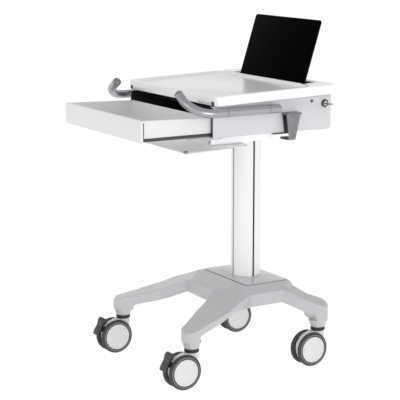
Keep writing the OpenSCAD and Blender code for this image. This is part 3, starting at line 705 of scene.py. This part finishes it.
(tx0, ty0, tz0), (tx1, ty1, _) = box_mm("mouse_tray")
TRAY_TOP = tz0 + 5
RAIL_XS, RAIL_FRONT, RAIL_REAR = (84, 206), ty0 + 118, ty0 + 210


def mouse_tray_piece():
    """A shallow plate with a raised edge, the two T rails it hangs by, and its corner pad."""
    outline = round_corners([(tx0, ty0), (tx1 - 1, ty0), (tx1 - 8, ty0 + 96), (tx1 - 22, ty0 + 160),
                             (tx1 - 38, ty1), (tx0, ty1)], [10, 12, 60, 60, 10, 8], 8)

    def ring(d, z):
        return [(x, y, z) for x, y in inset(outline, d)]

    rows = [ring(2.2, tz0), ring(0.8, tz0 + 0.5), ring(0.1, tz0 + 1.6), ring(0.1, TRAY_TOP - 1.2),
            ring(0.7, TRAY_TOP - 0.3), ring(1.8, TRAY_TOP), ring(3.6, TRAY_TOP),
            ring(4.6, TRAY_TOP - 0.5), ring(5.6, TRAY_TOP - 1.1), ring(7.2, TRAY_TOP - 1.2)]
    rails = []
    for x in RAIL_XS:
        neck = rounded(x - 1.5, RAIL_FRONT, x + 1.5, RAIL_REAR, 0.4, 2)
        head = rounded(x - 5, RAIL_FRONT, x + 5, RAIL_REAR, 0.8, 2)
        rails += [slab(neck, TRAY_TOP - 2, TRAY_TOP + 7, 0.1, 0.1, 1),
                  slab(head, TRAY_TOP + 6, TRAY_TOP + 11, 0.3, 0.6, 2)]
    make("mouse_plate", *join(loft(rows), *rails), "tray_white", "mouse_shelf", ["mouse_tray"])
    lo, hi = box_mm("tray_pad")
    pad_r, step = 5, 15
    disc = arc((lo[0] + hi[0]) / 2, (lo[1] + hi[1]) / 2, pad_r, 0, 360 - step, 360 // step - 1)
    pad = slab(disc, lo[2], hi[2], 0.6, 1.0, 3)
    make("mouse_plate_pad", *pad, "black_plastic", "mouse_shelf", ["tray_pad"])


mouse_tray_piece()

# ---------------------------------------------------------------- handles

HANDLE_X, HANDLE_Z, HANDLE_R, HANDLE_REAR = 254.0, 764.0, 12.0, -57.0
BEND_Y, BEND_R, GRIP_L = -264.0, 64.0, 26.0
RISE = math.radians(32)
BAND_YS, BAND_DEPTH = (-90, -225), 2


def handle_piece(side):
    """A tube along the box's side that bends inwards and up to a short grip, with a cap at the
    grip's end and two bands."""
    bend_steps = 18
    flat = [(0, HANDLE_REAR), (0, -100), (0, -160), (0, -220)]
    flat += [(BEND_R * (math.cos(a) - 1), BEND_Y - BEND_R * math.sin(a))
             for a in [math.pi / 2 * i / bend_steps for i in range(bend_steps + 1)]]
    flat += [(-BEND_R - GRIP_L * 0.5, BEND_Y - BEND_R), (-BEND_R - GRIP_L, BEND_Y - BEND_R)]
    path = [(side * (HANDLE_X + x * math.cos(RISE)), y, HANDLE_Z - x * math.sin(RISE))
            for x, y in flat]
    name = "handle_right" if side > 0 else "handle_left"
    tube = sweep(path, HANDLE_R - 0.1, 32, 7)
    make("grip_tube_" + tag_of(side), *tube, "handle_grey", "frame", [name])
    cap = [Vector(path[-2]) * 0.35 + Vector(path[-1]) * 0.65, Vector(path[-1])]
    make("grip_cap_" + tag_of(side), *sweep(cap, HANDLE_R, 32, 7), "hook_grey", "frame")
    verts, faces = lathe([(HANDLE_R - BAND_DEPTH, -2), (HANDLE_R - 0.2, -2), (HANDLE_R, -1.4),
                          (HANDLE_R, 1.4), (HANDLE_R - 0.2, 2), (HANDLE_R - BAND_DEPTH, 2)], 40, True)
    for y in BAND_YS:
        placed = [(side * HANDLE_X + v[1], y + v[0], HANDLE_Z + v[2]) for v in verts]
        make("handle_band_%s_%d" % (tag_of(side), -y), placed, faces, "hook_grey", "frame")


for hand in SIDES:
    handle_piece(hand)

# ---------------------------------------------------------------- laptop screen

HINGE_Y, HINGE_Z, HINGE_HALF = 71.0, 776.0, 117
SCREEN_W, SCREEN_H, SCREEN_T = 336.0, 226.0, 5.0
SCREEN_TILT = math.radians(17.9)
STAND_UP = Matrix(((1, 0, 0, 0), (0, 0, -1, 0), (0, 1, 0, 0), (0, 0, 0, 1)))


def screen_piece():
    """The lid of the laptop, drawn flat above its hinge and then stood up and leant back."""
    turn = (Matrix.Translation(Vector((0, HINGE_Y, HINGE_Z)) * MM)
            @ Matrix.Rotation(-SCREEN_TILT, 4, "X") @ STAND_UP)
    half, bezel = SCREEN_W / 2, 2.2
    shell = slab(rounded(-half, 9, half, SCREEN_H, 9, 8), -SCREEN_T, -0.7, 1.8, 0.6, 4)
    make("screen_shell", *shell, "laptop_black", "screen", ["laptop_screen"], turn)
    face = rounded(-half + bezel, 11, half - bezel, SCREEN_H - bezel, 7, 8)
    make("screen_panel", *slab(face, -1.2, -0.02, 0.1, 0.5, 2), "screen_glass", "screen", matrix=turn)
    barrel = lathe([(0.01, -HINGE_HALF), (3.4, -HINGE_HALF), (3.9, 1 - HINGE_HALF),
                    (3.9, HINGE_HALF - 1), (3.4, HINGE_HALF), (0.01, HINGE_HALF)], 32)
    strip = rounded(-HINGE_HALF, 0.5, HINGE_HALF, 12, 1, 2)
    leaf = slab(strip, -SCREEN_T + 0.2, -0.4, 0.3, 0.3, 1)
    make("screen_hinge", *join(barrel, leaf), "laptop_black", "screen", matrix=turn)


screen_piece()

# ---------------------------------------------------------------- side hook

def hook_piece():
    """A broad flange on the panel, and a strap that tapers down and turns in under the box."""
    lo, hi = box_mm("side_hook")
    x_out, z_top, z_bot = bx1 + 28, hi[2], lo[2]
    thick, bend, taper_top, taper_end = 5.0, 9.0, z_top - 9, 684
    front, rear, front_taper, rear_taper = -34.8, 8.8, 7.6, 13.4
    outer = [(x_out - 0.2, z_top - 4)]
    outer += [(x_out, z) for z in (738, 728, 716, 704, 694, z_bot + bend + 1)]
    outer += [(x_out - bend + x, z_bot + bend + y) for x, y in arc(0, 0, bend, 0, -90, 8)]
    outer += [(x, z_bot + 0.1) for x in (bx1 + 8, bx1 - 4, lo[0] + 2.5)]
    outer += [(lo[0] + 0.4, z_bot + 1.6), (lo[0] + 0.4, z_bot + 4.5)]
    rings = []
    for i, (x, z) in enumerate(outer):
        a, b = outer[max(i - 1, 0)], outer[min(i + 1, len(outer) - 1)]
        t = Vector((b[0] - a[0], b[1] - a[1])).normalized()
        low = min(1.0, max(0.0, (taper_top - z) / (taper_top - taper_end)))
        section = rounded(0, front + front_taper * low, thick, rear - rear_taper * low, 1.3, 3)
        inward = abs(t.y) if t.y < -0.3 else 0.0
        upward = 1.0 if abs(t.x) > 0.7 else abs(t.x)
        rings.append([(x - inward * sx, sy, z + upward * sx) for sx, sy in section])
    make("hook_strap", *loft(rings), "hook_grey", "frame", ["side_hook"])
    # Painted shade: the black sleeve on the lower leg is partly the hook's dark end and partly stands in
    # for the shade under the box.
    leg = rounded(lo[0] + 0.2, -27.6, bx1 + 17, -5.4, 2, 3)
    sleeve = slab(leg, z_bot - 0.1, z_bot + 6.2, 1.4, 1.4, 3)
    make("hook_sleeve_shade", *sleeve, "black_plastic", "frame")
    crown = round_corners([(bx1 + 0.1, -37.5), (bx1 + 35.6, -33), (bx1 + 35.6, 11), (bx1 + 0.1, 16.4)],
                          [2, 9, 9, 2], 6)
    make("hook_crown", *slab(crown, z_top - 4.9, z_top - 0.1, 1.2, 1.6, 3), "hook_grey", "frame")
    rib = round_corners([(-25, z_top - 12), (0, z_top - 12), (-8, taper_end + 10),
                         (-19, taper_end + 10)], 3, 4)
    raised = slab(rib, x_out - 0.3, x_out + 0.5, 0.1, 0.5, 2)
    make("hook_rib", *along_x(raised), "hook_grey", "frame")


hook_piece()

# ---------------------------------------------------------------- lock and key

def lock_pieces():
    """The barrel's ring on the panel, the core's face in it, and a key with a round bow."""
    lo, hi = box_mm("lock_barrel")
    place = Matrix.Translation(Vector((0, (lo[1] + hi[1]) / 2, (lo[2] + hi[2]) / 2)) * MM)
    barrel = lathe([(6.6, bx1 - 24), (8, bx1 - 24), (8, bx1), (11, bx1), (11, bx1 + 2.2),
                    (10.2, bx1 + 3.3), (8.4, bx1 + 3.5), (7.0, bx1 + 3.1), (6.6, bx1 + 2.6)], 56, True)
    make("lock_ring", *barrel, "black_plastic", "frame", ["lock_barrel"], place)
    face = lathe([(0.6, bx1 + 3.4), (3.2, bx1 + 4.5), (5.6, bx1 + 4.5), (6.3, bx1 + 4.0),
                  (6.4, bx1 + 1.0), (0.6, bx1 + 1.0)], 48, True)
    make("lock_face", *face, "chrome", "lock_turn", matrix=place)
    key_end, blade_half, bow_r, hole_r, step = box_mm("key")[1][0], 3.3, 9, 2.3, 8
    flat = [(bx1 + 1, -blade_half), (key_end - 15, -blade_half), (key_end - 15, blade_half),
            (bx1 + 1, blade_half)]
    blade = slab(round_corners(flat, 0.6, 3), -1, 1, 0.3, 0.3, 2)
    last, steps = 360 - step, 360 // step - 1
    bow_outer = arc(key_end - bow_r, 0, bow_r, 0, last, steps)
    hole = arc(key_end - 5, 0, hole_r, 0, last, steps)
    rings = []
    for ring, d, z in ((hole, 0, -0.7), (hole, -0.3, -1), (bow_outer, 0.5, -1), (bow_outer, 0, -0.5),
                       (bow_outer, 0, 0.5), (bow_outer, 0.5, 1), (hole, -0.3, 1), (hole, 0, 0.7)):
        rings.append([(x, y, z) for x, y in inset(ring, d)])
    bow = loft(rings, closed=True)
    make("key_blade", *join(blade, bow), "key_steel", "lock_turn", ["key"], place)


lock_pieces()

# ---------------------------------------------------------------- casters

CORNERS = ("fl", "fr", "rl", "rr")
WHEEL_R, HUB_R, TRAIL, WHEEL_INNER = 50.0, 38.0, 31.0, 10.0
COLLAR_LOW, COLLAR_HIGH = 100.5, 110.5


def wheel_parts():
    """Tyre, the light line on its shoulder, and the hub with its cap, from the inner face out."""
    tyre = lathe([(HUB_R, 0.6), (41, 0.6), (44.5, 1.0), (46.6, 1.8), (48.6, 3.4), (49.7, 5.4), (50, 7.5),
                  (49.7, 9.6), (48.6, 11.6), (46.6, 13.2), (44.5, 14.0), (43.4, 14.1), (43.0, 13.6),
                  (42.6, 13.6), (42.2, 14.2), (40.5, 14.4), (HUB_R, 14.4)], 88, True)
    line = lathe([(41.2, 13.9), (43.3, 13.4), (43.6, 14.0), (43.0, 14.5), (41.6, 14.7),
                  (41.0, 14.4)], 88, True)
    hub = lathe([(4.05, 0), (31, 0), (36.6, 0.3), (38, 1.6), (38, 13.4), (37.4, 14.6), (36, 15.0),
                 (34.2, 15.0), (33.0, 14.5), (32.4, 13.7), (31.6, 13.7), (30.8, 14.2), (22, 14.5),
                 (20.6, 14.25), (20.0, 14.1), (19.2, 14.15), (18.4, 14.4), (8, 14.6), (0.3, 14.6),
                 (0.3, 12.7), (4.05, 12.7)], 88, True)
    return tyre, line, hub


def housing_part():
    """The body between the wheels: round about the axle, a spine up to the swivel, a rounded hood."""
    outline = round_corners([(-33, -30), (0, -46), (33, -30), (44, 2), (49, 44), (47, 50),
                             (2, 50), (-20, 42), (-42, 16)], [30, 40, 30, 30, 6, 5, 24, 24, 30], 6)
    body = slab(outline, -8.9, 8.9, 2.2, 2.2, 4)
    return along_x(body)


def pedal_part():
    """A broad paddle with rounded edges and raised treads, on its arm."""
    paddle = round_corners([(-31, 52.5), (-44, 35), (-55, 12), (-59, 7.5), (-64.6, 11.5),
                            (-61, 22), (-51, 37), (-47.5, 52), (-41, 59.6), (-34.5, 57.8)],
                           [3, 8, 6, 3, 4, 6, 8, 6, 3, 3], 5)
    blade = along_x(slab(paddle, -14.9, 14.9, 3.6, 3.6, 5))
    arm = round_corners([(-24, 29), (-32, 17), (-56, 17), (-52, 33)], [5, 6, 3, 3], 5)
    link = along_x(slab(arm, -4.9, 4.9, 0.8, 0.8, 2))
    ribs = []
    for k in range(3):
        y, z = -62.4 + 3.2 * k, 15.5 + 6.0 * k
        rib = round_corners([(y + 2, z - 2.0), (y - 0.7, z - 0.9), (y - 0.1, z + 1.1),
                             (y + 2.6, z + 0.2)], 0.5, 2)
        ribs.append(along_x(slab(rib, -11, 11, 0.8, 0.8, 2)))
    return join(blade, link, *ribs)


def stem_part(r, low, high):
    """The grooved collar under the leg and the pin through it."""
    z0, z1 = COLLAR_LOW, COLLAR_HIGH
    collar = lathe([(3, z0), (r - 3.0, z0), (r - 1.2, z0 + 0.6), (r, z0 + 2.2), (r, z0 + 5.0),
                    (r - 0.8, z0 + 5.6), (r - 0.8, z0 + 6.4), (r, z0 + 7.0), (r - 0.2, z1 - 1),
                    (r - 1.2, z1), (3, z1)], 64, True)
    pin = lathe([(0.01, low), (5.0, low), (5.5, low + 1), (5.5, high - 1), (5, high), (0.01, high)], 32)
    return join(upright(collar), upright(pin))


def caster_pieces():
    """Each caster's stem, fork, axle and two wheels, and the pedal where the node exists."""
    tyre, line, hub = wheel_parts()
    for key in CORNERS:
        lo, hi = box_mm("stem_" + key)
        x, y = (lo[0] + hi[0]) / 2, (lo[1] + hi[1]) / 2
        axle = Matrix.Translation(Vector((x, y - TRAIL, WHEEL_R)) * MM)
        stem = stem_part((hi[0] - lo[0]) / 2, lo[2], hi[2])
        make("swivel_collar_" + key, *stem, "black_steel", "frame", ["stem_" + key],
             Matrix.Translation(Vector((x, y, 0)) * MM))
        make("fork_" + key, *housing_part(), "disc_white", "swivel_" + key, ["housing_" + key], axle)
        dress("axle_" + key)
        for letter, facing in (("a", math.pi), ("b", 0)):
            turn = Matrix.Rotation(facing, 4, "Z")
            place = axle @ turn @ Matrix.Translation(Vector((WHEEL_INNER, 0, 0)) * MM)
            tag = "%s_%s" % (key, letter)
            make("tread_" + tag, *tyre, "tyre", "wheel_" + tag, ["tyre_" + tag], place)
            make("tread_line_" + tag, *line, "line_light", "wheel_" + tag, matrix=place)
            make("wheel_disc_" + tag, *hub, "disc_white", "wheel_" + tag, ["hub_" + tag], place)
        if "pedal_" + key in frame["nodes"]:
            make("brake_paddle_" + key, *pedal_part(), "pedal_grey", "pedal_" + key,
                 ["pedal_" + key], axle)


caster_pieces()

# ---------------------------------------------------------------- light and camera

def area(name, position, target, size, energy):
    """A rectangular lamp aimed at a point."""
    light = bpy.data.lights.new(name, "AREA")
    light.shape = "RECTANGLE"
    light.size, light.size_y = size
    light.energy = energy
    obj = bpy.data.objects.new(name, light)
    bpy.context.scene.collection.objects.link(obj)
    obj.location = position
    direction = Vector(target) - Vector(position)
    obj.rotation_euler = direction.to_track_quat("-Z", "Y").to_euler()


def studio():
    """White all round and below, dimmer overhead, with two soft lamps at the right and front."""
    world = bpy.data.worlds.new("studio")
    bpy.context.scene.world = world
    world.use_nodes = True
    t = world.node_tree
    back = t.nodes["Background"]
    place = node(t, "ShaderNodeTexCoord")
    split = node(t, "ShaderNodeSeparateXYZ")
    t.links.new(place.outputs["Generated"], split.inputs[0])
    rise = node(t, "ShaderNodeMapRange")
    rise.inputs["From Min"].default_value = -1.0
    t.links.new(split.outputs["Z"], rise.inputs["Value"])
    ramp = node(t, "ShaderNodeValToRGB")
    stops = ((0.0, 1.02), (0.57, 1.02), (0.72, 0.72), (1.0, 0.62))
    while len(ramp.color_ramp.elements) < len(stops):
        ramp.color_ramp.elements.new(0.5)
    for element, (at, level) in zip(ramp.color_ramp.elements, stops):
        element.position = at
        element.color = (level, level, level, 1)
    t.links.new(rise.outputs["Result"], ramp.inputs["Fac"])
    t.links.new(ramp.outputs["Color"], back.inputs["Color"])
    back.inputs["Strength"].default_value = 1.0

    bpy.context.scene.view_settings.view_transform = "Standard"

    area("side", (3.4, -0.2, 0.9), (0, 0, 0.6), (1.6, 1.0), 25)
    area("key", (0.6, -3.2, 2.0), (0, 0, 0.7), (1.6, 1.2), 8)


def camera():
    """A long lens from the front right, a little above the worktop."""
    azimuth, elevation, distance = math.radians(59.207), math.radians(11.14), 4.1976
    aim_height, aim_left = 0.4615, 0.1344
    right = Vector((math.cos(azimuth), math.sin(azimuth), 0))
    away = Vector((math.sin(azimuth) * math.cos(elevation), -math.cos(azimuth) * math.cos(elevation),
                   math.sin(elevation)))
    target = Vector((0, 0, aim_height)) - right * aim_left
    data = bpy.data.cameras.new("camera")
    data.sensor_width = 36.0
    data.lens = 128.75
    data.clip_end = 60
    cam = bpy.data.objects.new("camera", data)
    bpy.context.scene.collection.objects.link(cam)
    cam.location = target + away * distance
    cam.rotation_euler = (-away).to_track_quat("-Z", "Y").to_euler()
    bpy.context.scene.camera = cam


studio()
camera()
